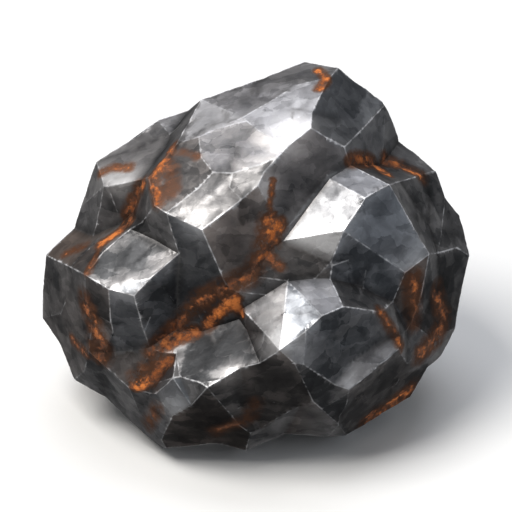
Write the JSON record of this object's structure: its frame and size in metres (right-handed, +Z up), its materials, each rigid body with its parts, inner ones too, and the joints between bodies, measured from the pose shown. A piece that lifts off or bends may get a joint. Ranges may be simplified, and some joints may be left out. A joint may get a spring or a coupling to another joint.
{
  "type": "iron ore lump",
  "caption": "Rough broken lump of dark metallic iron ore with flat fracture facets, ledges and rust in its clefts, resting on a flat break.",
  "frame": {"origin": "centre of the bounding box's bottom, on the flat break that the lump rests on", "axes": "+X along the longest side, to the right as the front is faced; -Y towards the front; +Z up"},
  "size_m": [0.1064, 0.0932, 0.0872],
  "materials": {
    "massive_ore": "half-metallic lustre on broken facets, rust stain in the clefts"
  },
  "bodies": {
    "root": {"ore_lump": "massive_ore"}
  },
  "joints": []
}
